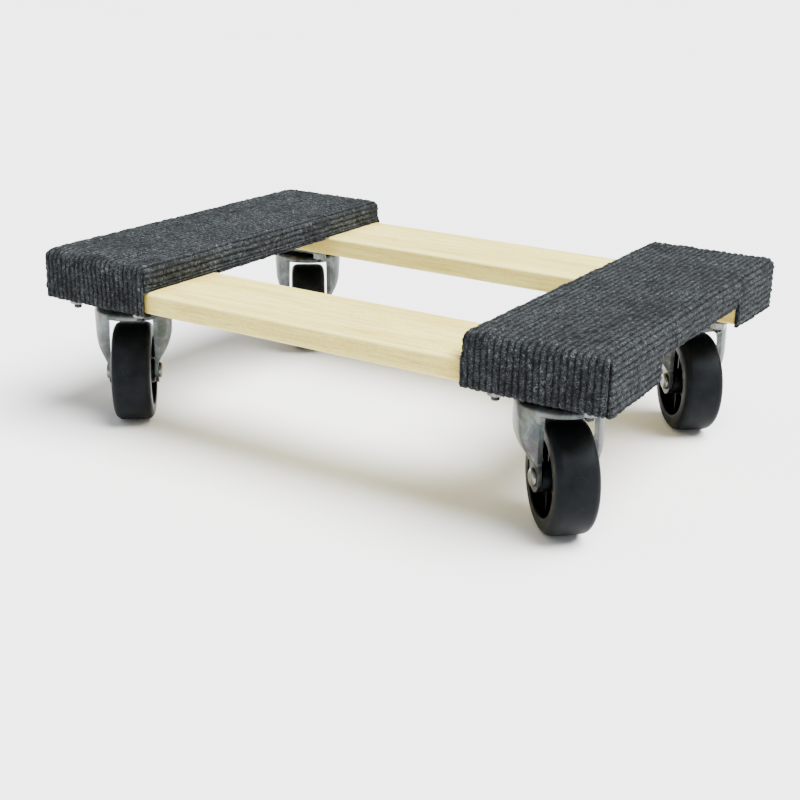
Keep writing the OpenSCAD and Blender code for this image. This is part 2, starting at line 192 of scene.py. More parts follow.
class Tree:
    """A material's nodes. The values are named after the shader's sockets, with _ for a space."""

    def __init__(self, name, **values):
        self.material = bpy.data.materials.new(name)
        self.material.use_nodes = True
        self.nodes = self.material.node_tree.nodes
        self.links = self.material.node_tree.links
        self.shader = self.nodes["Principled BSDF"]
        for socket, value in values.items():
            self.shader.inputs[socket.replace("_", " ")].default_value = value
        self.coords = self.nodes.new("ShaderNodeTexCoord").outputs["Object"]

    def put(self, value, socket):
        """Links a socket to another, or sets its number."""
        if isinstance(value, bpy.types.NodeSocket):
            self.links.new(value, socket)
        else:
            socket.default_value = value

    def stretched(self, x, y, z):
        """The object's coordinates times a factor on each axis."""
        node = self.nodes.new("ShaderNodeMapping")
        node.inputs["Scale"].default_value = (x, y, z)
        self.links.new(self.coords, node.inputs["Vector"])
        return node.outputs["Vector"]

    def noise(self, scale, detail=2.0, rough=0.5, vector=None, distortion=0.0):
        """A noise texture's value."""
        node = self.nodes.new("ShaderNodeTexNoise")
        node.inputs["Scale"].default_value = scale
        node.inputs["Detail"].default_value = detail
        node.inputs["Roughness"].default_value = rough
        node.inputs["Distortion"].default_value = distortion
        self.links.new(vector or self.coords, node.inputs["Vector"])
        return node.outputs["Fac"]

    def cells(self, scale, output="Distance"):
        """A Voronoi texture's distance or colour."""
        node = self.nodes.new("ShaderNodeTexVoronoi")
        node.inputs["Scale"].default_value = scale
        self.links.new(self.coords, node.inputs["Vector"])
        return node.outputs[output]

    def ramp(self, value, *stops):
        """A colour ramp: stops are (position, colour or grey)."""
        node = self.nodes.new("ShaderNodeValToRGB")
        band = node.color_ramp
        while len(band.elements) < len(stops):
            band.elements.new(0.5)
        for element, (position, colour) in zip(band.elements, stops):
            element.position = position
            grey = isinstance(colour, (int, float))
            element.color = (colour, colour, colour, 1) if grey else (*colour, 1)
        self.links.new(value, node.inputs["Fac"])
        return node.outputs["Color"]

    def mix(self, factor, a, b, blend="MIX"):
        """Mixes two colours. The node's inputs 6 and 7 and its output 2 are its colour sockets."""
        node = self.nodes.new("ShaderNodeMix")
        node.data_type = "RGBA"
        node.blend_type = blend
        self.put(factor, node.inputs[0])
        self.put(a if isinstance(a, bpy.types.NodeSocket) else (*a, 1), node.inputs[6])
        self.put(b if isinstance(b, bpy.types.NodeSocket) else (*b, 1), node.inputs[7])
        return node.outputs[2]

    def math(self, operation, a, b=0.0):
        """One operation on two values, or on the first alone."""
        node = self.nodes.new("ShaderNodeMath")
        node.operation = operation
        self.put(a, node.inputs[0])
        self.put(b, node.inputs[1])
        return node.outputs[0]

    def spread(self, value, low, high):
        """Maps 0 to 1 onto low to high."""
        node = self.nodes.new("ShaderNodeMapRange")
        self.links.new(value, node.inputs["Value"])
        node.inputs["To Min"].default_value = low
        node.inputs["To Max"].default_value = high
        return node.outputs["Result"]

    def attribute(self, name):
        """A value stored on the mesh."""
        node = self.nodes.new("ShaderNodeAttribute")
        node.attribute_name = name
        return node.outputs["Fac"]

    def part(self, vector, axis):
        """One axis of a vector."""
        node = self.nodes.new("ShaderNodeSeparateXYZ")
        self.links.new(vector, node.inputs[0])
        return node.outputs[axis]

    def normal(self):
        """The way the surface faces."""
        return self.nodes.new("ShaderNodeNewGeometry").outputs["Normal"]

    def set(self, socket, value):
        """Links a value to a socket of the shader."""
        self.links.new(value, self.shader.inputs[socket])

    def bumps(self, *layers):
        """Bump layers as (height, distance in metres, strength), one over another."""
        normal = None
        for height, distance, strength in layers:
            node = self.nodes.new("ShaderNodeBump")
            node.inputs["Distance"].default_value = distance
            node.inputs["Strength"].default_value = strength
            self.links.new(height, node.inputs["Height"])
            if normal:
                self.links.new(normal, node.inputs["Normal"])
            normal = node.outputs["Normal"]
        self.links.new(normal, self.shader.inputs["Normal"])


# ------------ materials

LINT = (0.20, 0.22, 0.235)
STREAK_DARK, STREAK_PALE = (0.47, 0.33, 0.065), (0.88, 0.79, 0.27)
STAIN = (0.47, 0.315, 0.085)
# painted highlight on the rails' upper rounded edges
TOP_EDGE_HIGHLIGHT = (0.93, 0.84, 0.31)
SIDE_PAINTED_SHADE = (0.87, 0.85, 0.77)             # painted shade on the rails' sides, a little warmer, as a share of their tops' colour
SOIL_AND_SHADOW_SHARE = (0.80, 0.75, 0.66)             # dirt and painted contact shadow on the wood by the carpet, as a share of clean wood's colour
SOIL_AND_SHADOW_SCALE = 4.0                            # brings metres along the deck to a ramp's 0 to 1
SOIL_AND_SHADOW_START, SOIL_AND_SHADOW_FULL = 0.485, 0.545        # on that scale; it is full at the carpet's edge
# painted shade in the wheels' recesses
RECESS_PAINTED_SHADE = (0.0007, 0.0008, 0.0010)
TREAD_DUST = (0.06, 0.06, 0.058)


def carpet_material():
    """Heathered charcoal needle-punch carpet: painted shade in the grooves, a painted highlight on
    the rib tops, pale and dark fibre flecks.
    """
    t = Tree("carpet", Roughness=0.95, Specular_IOR_Level=0.03,
             Sheen_Weight=0.015, Sheen_Roughness=0.7)
    fleck = t.noise(430, 3.0, 0.62, distortion=0.9)
    tone = t.ramp(fleck, (0.30, (0.0022, 0.0029, 0.0038)), (0.46, (0.0105, 0.0128, 0.0150)),
                  (0.60, (0.0265, 0.0335, 0.0370)), (0.74, (0.128, 0.153, 0.160)))
    fine = t.noise(1250, 2.0, 0.6)
    tone = t.mix(0.40, tone, t.ramp(fine, (0.36, 0.002), (0.54, 0.014), (0.70, 0.135)))
    patch = t.noise(60, 3.0, 0.55)
    tone = t.mix(1.0, tone, t.ramp(patch, (0.3, 0.78), (0.7, 1.14)), "MULTIPLY")
    lint = t.ramp(t.cells(150), (0.030, 1.0), (0.045, 0.0))
    tone = t.mix(lint, tone, LINT)
    # painted light: a low crest paints shade into grooves, seams, lining and cut edges; a high
    # crest paints a highlight on rib tops and tufts
    crest = t.math("MULTIPLY", t.attribute("crest"), 0.5)
    shade = t.ramp(crest, (0.0, 0.10), (0.175, 0.46), (0.425, 1.22), (0.55, 1.22), (0.9, 3.2))
    tone = t.mix(1.0, tone, shade, "MULTIPLY")
    t.set("Base Color", tone)
    fuzz = t.noise(1500, 3.0, 0.7, distortion=0.8)
    tuft = t.noise(430, 2.0, 0.6, distortion=0.9)
    t.bumps((tuft, 1.1 * MM, 0.9), (fuzz, 0.45 * MM, 1.0))
    return t.material


def wood_material():
    """Pale planed hardwood: straight grain along the rails, stains, painted shade on the sides, a
    painted highlight on the upper rounded edges, and dirt with painted contact shadow by the
    carpet.
    """
    t = Tree("pale_wood", Roughness=0.5, Specular_IOR_Level=0.2)
    along = t.stretched(1.0, 11.0, 11.0)
    broad = t.noise(7, 3.0, 0.5, along, 0.6)
    base = t.ramp(broad, (0.3, (0.59, 0.45, 0.095)), (0.5, (0.71, 0.59, 0.15)),
                  (0.72, (0.84, 0.73, 0.225)))
    streak = t.noise(26, 5.0, 0.62, t.stretched(0.6, 14.0, 14.0), 0.3)
    base = t.mix(0.34, base, t.ramp(streak, (0.36, STREAK_DARK), (0.55, STREAK_PALE)))
    pores = t.noise(160, 2.0, 0.5, t.stretched(0.5, 10.0, 10.0))
    fleck = t.ramp(pores, (0.30, 0.66), (0.40, 1.0))
    base = t.mix(1.0, base, fleck, "MULTIPLY")
    smudge = t.noise(8, 4.0, 0.6, t.stretched(1.0, 2.6, 2.6), 1.4)
    stain = t.ramp(smudge, (0.56, 0.0), (0.74, 0.42))
    base = t.mix(stain, base, STAIN)
    saw = t.noise(850, 2.0, 0.6)
    base = t.mix(1.0, base, t.ramp(saw, (0.34, 0.86), (0.62, 1.04)), "MULTIPLY")
    side = t.math("ABSOLUTE", t.part(t.normal(), "Y"))
    top = t.part(t.normal(), "Z")
    # painted shade: faces that look to the front or the rear are darker than the tops
    base = t.mix(1.0, base, t.ramp(side, (0.75, 1.0), (0.97, SIDE_PAINTED_SHADE)), "MULTIPLY")
    # painted highlight where the rails' top edges round over
    top_edge_highlight = t.ramp(t.math("MULTIPLY", side, top), (0.16, 0.0), (0.42, 0.55))
    base = t.mix(top_edge_highlight, base, TOP_EDGE_HIGHLIGHT)
    # dirt and painted contact shadow, darker towards the carpet's edge
    outward = t.math("MULTIPLY", t.math("ABSOLUTE", t.part(t.coords, "X")), SOIL_AND_SHADOW_SCALE)
    wavy = t.math("ADD", outward, t.math("MULTIPLY", t.noise(70, 3.0, 0.6), 0.05))
    soil_and_shadow = t.ramp(wavy, (SOIL_AND_SHADOW_START, 1.0), (SOIL_AND_SHADOW_FULL, SOIL_AND_SHADOW_SHARE))
    base = t.mix(1.0, base, soil_and_shadow, "MULTIPLY")
    t.set("Base Color", base)
    t.set("Roughness", t.spread(streak, 0.42, 0.60))
    t.bumps((streak, 0.14 * MM, 0.5), (pores, 0.08 * MM, 0.6), (saw, 0.06 * MM, 0.6))
    return t.material


def zinc_material():
    """Zinc-plated pressed steel: cool grey, cloudy, with faint dull patches."""
    t = Tree("zinc_steel", Metallic=1.0)
    cloud = t.noise(70, 5.0, 0.62, distortion=0.9)
    tone = t.ramp(cloud, (0.30, (0.028, 0.031, 0.030)), (0.48, (0.052, 0.057, 0.055)),
                  (0.70, (0.110, 0.118, 0.113)))
    spangle = t.cells(210, "Color")
    tone = t.mix(0.12, tone, spangle, "SOFT_LIGHT")
    t.set("Base Color", tone)
    fine = t.noise(600, 3.0, 0.6)
    t.set("Roughness", t.spread(cloud, 0.24, 0.44))
    t.bumps((cloud, 0.20 * MM, 0.5), (fine, 0.03 * MM, 0.5))
    return t.material


def bright_material():
    """Bright zinc on nuts, bolts and rivets."""
    t = Tree("bright_steel", Metallic=1.0)
    cloud = t.noise(260, 3.0, 0.6)
    t.set("Base Color", t.ramp(cloud, (0.3, (0.065, 0.068, 0.066)), (0.7, (0.19, 0.19, 0.18))))
    t.set("Roughness", t.spread(cloud, 0.16, 0.34))
    t.bumps((t.noise(900, 2.0), 0.02 * MM, 0.5))
    return t.material


def ball_material():
    """Polished bearing balls under a film of grease."""
    t = Tree("ball_steel", Metallic=1.0)
    film = t.noise(500, 2.0)
    t.set("Base Color", t.ramp(film, (0.35, (0.10, 0.095, 0.085)), (0.65, (0.30, 0.30, 0.30))))
    t.set("Roughness", t.spread(film, 0.08, 0.30))
    return t.material


def wheel_material():
    """Black moulded wheel: satin sides, painted shade in the recesses, a scuffed tread with dust
    in it.
    """
    t = Tree("wheel_black", Specular_IOR_Level=0.06, Specular_Tint=(0.80, 0.92, 1.0, 1.0))
    tread = t.attribute("tread")
    speck = t.noise(900, 3.0, 0.7)
    cloud = t.noise(60, 4.0, 0.6)
    side = t.ramp(cloud, (0.3, (0.0016, 0.0020, 0.0025)), (0.7, (0.0034, 0.0039, 0.0045)))
    worn = t.ramp(cloud, (0.3, (0.0028, 0.0032, 0.0037)), (0.7, (0.0068, 0.0075, 0.0083)))
    tone = t.mix(tread, side, worn)
    # painted shade in the recesses and on the hub
    recess_shade = t.attribute("recess_shade")
    tone = t.mix(recess_shade, tone, RECESS_PAINTED_SHADE)
    dust = t.math("MULTIPLY", t.ramp(t.cells(330), (0.05, 1.0), (0.075, 0.0)), tread)
    tone = t.mix(t.math("MULTIPLY", dust, 0.55), tone, TREAD_DUST)
    t.set("Base Color", tone)
    dull = t.math("ADD", t.math("MULTIPLY", cloud, 0.5), t.math("MULTIPLY", tread, 0.4))
    t.set("Roughness", t.spread(dull, 0.26, 0.60))
    t.bumps((speck, 0.05 * MM, 0.35), (t.noise(240, 2.0), 0.08 * MM, 0.25))
    return t.material


def floor_material():
    """Plain pale studio floor."""
    t = Tree("floor_pale", Roughness=0.85, Specular_IOR_Level=0.1)
    tone = t.noise(1.5, 2.0)
    t.set("Base Color", t.ramp(tone, (0.3, 0.86), (0.7, 0.88)))
    return t.material


CARPET = carpet_material()
WOOD = wood_material()
ZINC = zinc_material()
BRIGHT = bright_material()
BALLS = ball_material()
BLACK = wheel_material()


# ------------ carpet covers

cover_lo, cover_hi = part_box("carpet_cover_right")
rail_lo, rail_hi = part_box("rail_front")

HALF_X = (cover_hi.x - cover_lo.x) / 2
HALF_Y = cover_hi.y
TOP_Z = cover_hi.z
FOLD_Z = cover_lo.z
RAIL_TOP = rail_hi.z
RAIL_INNER_Y = -rail_hi.y

EDGE_R = np.array([6.5, 7.0, 6.5]) * MM     # radii of the rounding along X, Y and Z
BY_RAIL = 0.86                              # how much tighter the inner edges are at the rails
FOLD_R = 2.9 * MM
FOLD_TURN = FOLD_R * math.pi / 2            # carpet taken up by the turn of a fold
WALL_T = 2.5 * MM
FOLD_T = 1.8 * MM
CUT_CREST = 0.3                             # crest of the lining and the cut edges, which gives them painted shade
FLAP_IN_Y = RAIL_INNER_Y - 1.0 * MM         # inner edge of the corner flaps
STRIP_Y = RAIL_INNER_Y - 4.0 * MM           # end of the fold under the cross board
BOARD_FOLD_Z = RAIL_TOP - (rail_lo.z - FOLD_Z) + FOLD_R   # where the walls turn under the board
UNDER_BOARD = 23.0 * MM
UNDER_RAIL = 8.0 * MM
OUTER, INNER = 1, -1

END_DROP = TOP_Z - (FOLD_Z + FOLD_R)        # from the top down to the folds under the rails
BOARD_DROP = TOP_Z - BOARD_FOLD_Z           # from the top down to the folds under the board
FLAP_DROP = TOP_Z - FOLD_Z                  # from the top down to the cut foot of the flaps

CELL, FOLD_CELL = 3 * MM, 3.4 * MM          # cells of the sheet along the ribs, and in a fold
FINE, COARSE = 4, 2                         # parts that a cell is cut into
SEED_LUMPS, SEED_WEAR, SEED_END, SEED_WALL, SEED_FOOT = 2, 4, 9, 11, 12   # added to a cover's seed

RIB_PITCH = 4.4 * MM
RIB_HEIGHT = 1.15 * MM
RIB_ROUND = 2.3                             # 2 is a round rib, more is a flatter one
RIB_SUNK = 0.62                             # share of a rib that lies below the carpet's face
WEAR_MEAN = 0.76
WEAR = ((0.22, 26 * MM), (0.20, 7 * MM))    # change of the ribs' strength, and over what length
SWAY = ((0.52 * MM, 17 * MM), (0.46 * MM, 4.2 * MM))     # how far the ribs wander
LUMPS = ((0.50 * MM, 3.4 * MM), (0.28 * MM, 1.5 * MM))   # height and size of the tufts

SEAM_GAP = 0.03 * MM
SEAM_WAVE = 0.05 * MM
SEAM_REACH = 3 * MM                         # how far from a seam the carpet is drawn back
SEAM_START = 4 * MM                         # how far down a wall its seams are fully formed
SEAM_LUMP = 6 * MM
RIM_H, RIM_AT, RIM_W = 0.55 * MM, 2.2 * MM, 1.4 * MM     # the puffed rim beside a seam
DENT_H, DENT_W = 0.85 * MM, 0.8 * MM        # the dent along a seam
SHADOW_W = 0.6 * MM                         # the darker strip at a seam
SEAM_HIGHLIGHT_AT, SEAM_HIGHLIGHT_W = 1.4 * MM, 0.5 * MM        # the pale line painted as a highlight on the cut ridge beside a seam
RAGGED_FROM = 5 * MM                        # how far above a cut foot it starts to be uneven
RAGGED_H, RAGGED_LUMP = 0.45 * MM, 3 * MM
FLAP_LIFT, FLAP_LIFT_LENGTH = 1.0 * MM, 40 * MM          # the flaps' inner corners hang higher


def spaced(stops, steps):
    """Lines through all stops, about a step apart; steps holds one size for each stretch."""
    lines = []
    for a, b, step in zip(stops[:-1], stops[1:], steps):
        count = max(1, round(abs(b - a) / step))
        lines += list(np.linspace(a, b, count, endpoint=False))
    return np.array(lines + [stops[-1]])


def refined(lines, parts):
    """The lines with each gap cut into that many parts."""
    return np.interp(np.arange((len(lines) - 1) * parts + 1) / parts, np.arange(len(lines)), lines)


def wrap(point):
    """Takes points of the cover's square box onto its rounded shape, with their normals."""
    x, y, z = point.T
    near_rail = 1 - smooth_step(z, RAIL_TOP - 1 * MM, RAIL_TOP + 5 * MM)
    tight = np.where(x < 0, 1 - BY_RAIL * near_rail, 1.0)
    radius = np.stack([EDGE_R[0] * tight, EDGE_R[1] * tight, np.full(len(x), EDGE_R[2])], 1)
    core = np.stack([
        np.clip(x, radius[:, 0] - HALF_X, HALF_X - radius[:, 0]),
        np.clip(y, radius[:, 1] - HALF_Y, HALF_Y - radius[:, 1]),
        np.minimum(z, TOP_Z - EDGE_R[2])], 1)
    away = (point - core) / radius
    away /= np.linalg.norm(away, axis=1)[:, None]
    return core + away * radius, away, core


WELD_STEPS = 1e7        # points closer than a step of a metre over this are one point
WELD_SHIFT = 0.137      # keeps the steps' limits away from round sizes


class Sheet:
    """A thick sheet made of charts that share their edge points; each chart is a grid."""

    def __init__(self):
        self.base, self.normal, self.height, self.thick, self.crest = [], [], [], [], []
        self.quads, self.cells, self.chains = [], [], []
        self.count = 0

    def chart(self, a_lines, b_lines, a_parts, b_parts, place, keep=None):
        """Adds the cells between the lines, each cut into parts along a and b.

        place gives the points' base, normal, height, thickness and crest.
        """
        a, b = refined(a_lines, a_parts), refined(b_lines, b_parts)
        grid_a, grid_b = (g.ravel() for g in np.meshgrid(a, b, indexing="ij"))
        base, normal, height, thick, crest = place(grid_a, grid_b)
        for store, values in ((self.base, base), (self.normal, normal), (self.height, height),
                              (self.thick, thick), (self.crest, crest)):
            store.append(np.broadcast_to(values, (len(grid_a),) + np.shape(values)[1:]))
        ids = self.count + np.arange(len(grid_a)).reshape(len(a), len(b))
        self.count += len(grid_a)
        first, along_a, along_b = base[0], base[len(b)], base[1]
        turned = np.dot(np.cross(along_a - first, along_b - first), normal[0]) < 0
        for i in range(len(a_lines) - 1):
            for j in range(len(b_lines) - 1):
                mid_a = (a_lines[i] + a_lines[i + 1]) / 2
                mid_b = (b_lines[j] + b_lines[j + 1]) / 2
                if keep and not keep(mid_a, mid_b):
                    continue
                block = ids[i * a_parts:(i + 1) * a_parts + 1, j * b_parts:(j + 1) * b_parts + 1]
                self._cell(block, turned)

    def _cell(self, block, turned):
        """Adds one cell: its small quads, and the chains of points along its four sides."""
        quads = np.stack([block[:-1, :-1], block[1:, :-1], block[1:, 1:], block[:-1, 1:]], -1)
        quads = quads.reshape(-1, 4)
        loop = [block[:, 0], block[-1, :], block[::-1, -1], block[0, ::-1]]
        if turned:
            quads = quads[:, ::-1]
            loop = [chain[::-1] for chain in loop[::-1]]
        self.quads.append(quads)
        self.cells.append([chain[0] for chain in loop])
        self.chains += loop

    def build(self, name, material, mirror):
        """Welds the charts, adds the lining and the cut edges, and makes the object."""
        base, normal = np.concatenate(self.base), np.concatenate(self.normal)
        height, thick = np.concatenate(self.height), np.concatenate(self.thick)
        crest = np.concatenate(self.crest)
        key = np.round(base * WELD_STEPS + WELD_SHIFT).astype(np.int64)
        _, first, weld = np.unique(key, axis=0, return_index=True, return_inverse=True)
        weld = weld.ravel()
        outer = base[first] + normal[first] * height[first][:, None]
        lining = sorted({int(weld[v]) for cell in self.cells for v in cell})
        inner_id = {v: len(outer) + n for n, v in enumerate(lining)}
        inner = [base[first[v]] - normal[first[v]] * thick[first[v]] for v in lining]
        faces = weld[np.concatenate(self.quads)].tolist()
        faces += [[inner_id[int(weld[v])] for v in cell[::-1]] for cell in self.cells]
        ends = {}
        for chain in self.chains:
            line = weld[chain].tolist()
            ends.setdefault(frozenset((line[0], line[-1])), []).append(line)
        for lines in ends.values():
            if len(lines) == 1:
                line = lines[0]
                faces.append(line[::-1] + [inner_id[line[0]], inner_id[line[-1]]])
        verts = np.concatenate([outer, inner])
        if mirror:
            verts[:, 0] *= -1
            faces = [face[::-1] for face in faces]
        piece = make_object(name, verts, faces, material, sharp_deg=60)
        # the crest carries the carpet's painted shade and painted highlight
        layer = piece.data.attributes.new("crest", "FLOAT", "POINT")
        values = np.concatenate([crest[first], np.full(len(inner), CUT_CREST)])
        layer.data.foreach_set("value", values)
        return piece


def layered(points, layers, seed, mean=0.0):
    """Noise about a mean, in layers of (strength, size); each layer has the next seed."""
    parts = (power * noise3(points, size, seed + n) for n, (power, size) in enumerate(layers))
    return sum(parts, mean)


def ribs(base, across, seed):
    """Height and crest of the ribbed pile at points that lie that far across the ribs."""
    phase = (across + layered(base, SWAY, seed)) / RIB_PITCH
    hump = 1 - np.abs(2 * (phase - np.floor(phase)) - 1) ** RIB_ROUND
    lumps = layered(base, LUMPS, seed + SEED_LUMPS)
    strong = layered(base, WEAR, seed + SEED_WEAR, WEAR_MEAN)
    height = RIB_HEIGHT * strong * (hump - RIB_SUNK) + lumps
    # the crest, from the rib's hump, its strength and the tufts, sets the carpet's painted shade
    # and painted highlight
    crest = np.clip(hump * strong + 0.5 * lumps / MM + 0.1, 0, 1)
    return height, crest


def long_edge_distance(point, core, away):
    """Distance across the ribs for the sheet that runs over the long edges."""
    turned = np.arctan2(np.abs(away[:, 0]), np.maximum(away[:, 2], 0))
    rounded = np.abs(away[:, 0]) > TINY
    drop = np.maximum(TOP_Z - EDGE_R[2] - point[:, 2], 0) * rounded
    return core[:, 0] + np.sign(point[:, 0]) * (EDGE_R[0] * turned * rounded + drop)


def short_edge_distance(x, core, away):
    """Distance across the ribs for the flaps that hang over the short edges."""
    turned = np.arctan2(np.abs(away[:, 0]), np.maximum(np.abs(away[:, 1]), away[:, 2]))
    return core[:, 0] + np.sign(x) * EDGE_R[0] * turned


def seam_shape(distance, wave):
    """How far a cut edge is drawn back, and the height of its puffed rim, near a seam."""
    near = np.clip(1 - distance / SEAM_REACH, 0, 1) ** 2
    pull = near * (SEAM_GAP + SEAM_WAVE * (1 + wave))
    rim = RIM_H * np.exp(-((distance - RIM_AT) / RIM_W) ** 2) * (1 + 0.5 * wave)
    dent = -DENT_H * np.exp(-(distance / DENT_W) ** 2)
    return pull, rim + dent


def seam_shadow(crest, distance, started):
    """The crest, darker in a narrow strip along a seam."""
    return np.where(distance < SHADOW_W, crest * (1 - 0.6 * started), crest)


def folded_under(base, normal, down, drop, axis, sign):
    """Turns a wall under past its drop: its points and normals, and its thickness there."""
    lean = np.clip((down - drop) / FOLD_R, 0, math.pi / 2)
    flat = np.maximum(down - drop - FOLD_TURN, 0)
    turned = base - normal * FOLD_R + normal * FOLD_R * np.cos(lean)[:, None]
    turned[:, 2] -= FOLD_R * np.sin(lean)
    turned[:, axis] -= sign * flat
    facing = normal * np.cos(lean)[:, None]
    facing[:, 2] -= np.sin(lean)
    below = (down > drop + TINY)[:, None]
    thick = WALL_T + (FOLD_T - WALL_T) * lean / (math.pi / 2)
    return np.where(below, turned, base), np.where(below, facing, normal), thick


def deck_top(seed, x, y):
    """The carpet on top of the deck."""
    point = np.stack([x, y, np.full(len(x), TOP_Z)], 1)
    base, normal, core = wrap(point)
    height, crest = ribs(base, long_edge_distance(point, core, normal), seed)
    return base, normal, height, np.full(len(x), WALL_T), crest


def end_flap(seed, sign, x, down):
    """The flap over a rail's side, folded under it; down runs along the sheet from the top."""
    z = TOP_Z - np.minimum(down, END_DROP)
    wave = noise3(np.stack([x, sign * z, z], 1), SEAM_LUMP, seed + SEED_END)
    seam = HALF_X - np.abs(x)
    pull, rim = seam_shape(seam, wave)
    started = smooth_step(down, 0, SEAM_START)
    shifted = x - np.sign(x) * pull * started
    base, normal, core = wrap(np.stack([shifted, np.full(len(x), sign * HALF_Y), z], 1))
    across = short_edge_distance(x, core, normal)
    base, normal, thick = folded_under(base, normal, down, END_DROP, 1, sign)
    height, crest = ribs(base, across, seed)
    crest = seam_shadow(crest, seam, started)
    # painted highlight: a pale line on the cut ridge beside the seam
    seam_highlight = np.exp(-((seam - SEAM_HIGHLIGHT_AT) / SEAM_HIGHLIGHT_W) ** 2) * started * (0.65 + 0.5 * wave)
    return base, normal, height + rim * started, thick, crest + np.maximum(seam_highlight, 0)


def long_wall(seed, sign, hanging, down, y):
    """A wall over a long edge: folded under the board, or hanging over a rail's end."""
    drop = FLAP_DROP if hanging else BOARD_DROP
    z = TOP_Z - np.minimum(down, drop)
    wave = noise3(np.stack([y, z, z], 1), SEAM_LUMP, seed + SEED_WALL)
    seam = HALF_Y - np.abs(y)
    pull, rim = seam_shape(seam, wave)
    started = smooth_step(down, 0, SEAM_START)
    shifted = y - np.sign(y) * pull * started
    if hanging:
        ragged = smooth_step(down, drop - RAGGED_FROM, drop)
        lumps = noise3(np.stack([y, y, z * 0], 1), RAGGED_LUMP, seed + SEED_FOOT)
        z = z + ragged * RAGGED_H * lumps
        rise = 1 - smooth_step(np.abs(y), FLAP_IN_Y, FLAP_IN_Y + FLAP_LIFT_LENGTH)
        z = z + ragged * FLAP_LIFT * rise
    point = np.stack([np.full(len(y), sign * HALF_X), shifted, z], 1)
    base, normal, core = wrap(point)
    across = long_edge_distance(point, core, normal) + sign * np.maximum(down - drop, 0)
    base, normal, thick = folded_under(base, normal, down, drop, 0, sign)
    height, crest = ribs(base, across, seed)
    return base, normal, height + rim * started, thick, seam_shadow(crest, seam, started)


def over_rail_ends(down, y):
    """Whether a cell lies outside the corner flaps' inner edges."""
    return abs(y) > FLAP_IN_Y


def between_rails(down, y):
    """Whether a cell lies between the rails, where the carpet folds under the board."""
    return abs(y) < STRIP_Y


def cover_sheet(seed):
    """All charts of one cover; local +X faces the deck end."""
    sheet = Sheet()
    half_rib = RIB_PITCH / 2
    x_lines = spaced([-HALF_X, HALF_X], [half_rib])
    y_lines = spaced([-HALF_Y, -FLAP_IN_Y, -STRIP_Y, STRIP_Y, FLAP_IN_Y, HALF_Y], [CELL] * 5)
    sheet.chart(x_lines, y_lines, FINE, COARSE, partial(deck_top, seed))

    under = UNDER_RAIL - FOLD_R
    end_lines = spaced([0, END_DROP, END_DROP + FOLD_TURN, END_DROP + FOLD_TURN + under],
                       [CELL, FOLD_TURN / 3, under / 2])
    for sign in SIDES:
        sheet.chart(x_lines, end_lines, FINE, COARSE, partial(end_flap, seed, sign))

    under = UNDER_BOARD - FOLD_R
    wall_lines = spaced([0, BOARD_DROP], [half_rib])
    fold_lines = spaced([BOARD_DROP, BOARD_DROP + FOLD_TURN, BOARD_DROP + FOLD_TURN + under],
                        [FOLD_TURN / 3, FOLD_CELL])
    for sign in (OUTER, INNER):
        wall = partial(long_wall, seed, sign, False)
        sheet.chart(wall_lines, y_lines, FINE, COARSE, wall)
        sheet.chart(fold_lines, y_lines, COARSE, COARSE, wall, between_rails)

    flap_lines = spaced([BOARD_DROP, FLAP_DROP], [half_rib])
    sill_lines = np.array([BOARD_DROP, TOP_Z - RAIL_TOP - 0.1 * MM])
    flap, sill = (partial(long_wall, seed, sign, True) for sign in (OUTER, INNER))
    sheet.chart(flap_lines, y_lines, FINE, COARSE, flap, over_rail_ends)
    sheet.chart(sill_lines, y_lines, COARSE, COARSE, sill, over_rail_ends)
    return sheet


def carpet_cover(side, seed):
    """One carpet cover in its place on the deck."""
    node = f"carpet_cover_{side}"
    lo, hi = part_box(node)
    piece = cover_sheet(seed).build(f"{side}_carpet", CARPET, mirror=side == "left")
    piece.data.transform(Matrix.Translation(((lo.x + hi.x) / 2, 0, 0)))
    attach(piece, "frame")
    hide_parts(node)


carpet_cover("left", 3)
carpet_cover("right", 31)


# ------------ casters

wheel_lo, wheel_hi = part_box("front_left_wheel")
nut_lo, nut_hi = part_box("front_left_plate_nuts")
bolt_lo, bolt_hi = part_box("front_left_plate_bolts")

TRAIL = 13.5 * MM                           # from the swivel axis back to the axle

WHEEL_R = (wheel_hi.z - wheel_lo.z) / 2
WHEEL_HALF = 14.5 * MM
HUB_HALF = 15.3 * MM
SHOULDER_R = 5.5 * MM
BORE_R, HUB_R, RECESS_R = 6.05 * MM, 9.5 * MM, 26.5 * MM
WEB_HALF = 5 * MM
WHEEL_RIBS = 6
RIB_LO, RIB_HI = (8.6 * MM, -1 * MM, 4 * MM), (26.7 * MM, 1 * MM, 9.5 * MM)
SOFT_EDGE, PLATE_EDGE = 0.35 * MM, 0.3 * MM
TREAD_DEPTH = 2.2 * MM                      # from the wheel's full radius in, for the worn look
HUB_SHADE_R, RECESS_SHADE_R = 12 * MM, 27 * MM   # inside these the hub and the web get painted shade
# how far in from the wheel's side faces the painted shade starts
RECESS_SHADE_DEPTH = 0.6 * MM

CROWN_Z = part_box("front_left_fork")[1].z
CROWN_R = 29.0 * MM
CROWN_T = 3 * MM
CROWN_HOLE_R = 5 * MM
LOWER_BALLS_R, UPPER_BALLS_R = 10.5 * MM, 17 * MM
BEND_R = 5.0 * MM
RIM_T = 2.4 * MM
RIM_DROP = 7.0 * MM

LEG_T = 2.0 * MM
LEG_OUT = 18.5 * MM
LEG_TAPER = 0.027                           # how fast the legs' round backs widen downwards
LEG_SOFT = 1.6 * MM                         # blend between a leg's flat and its round back
FOOT_R = 9.5 * MM
FOOT_ROWS, LEG_ROWS, BEND_ROWS = 16, 42, 20
LEG_STEPS = 28

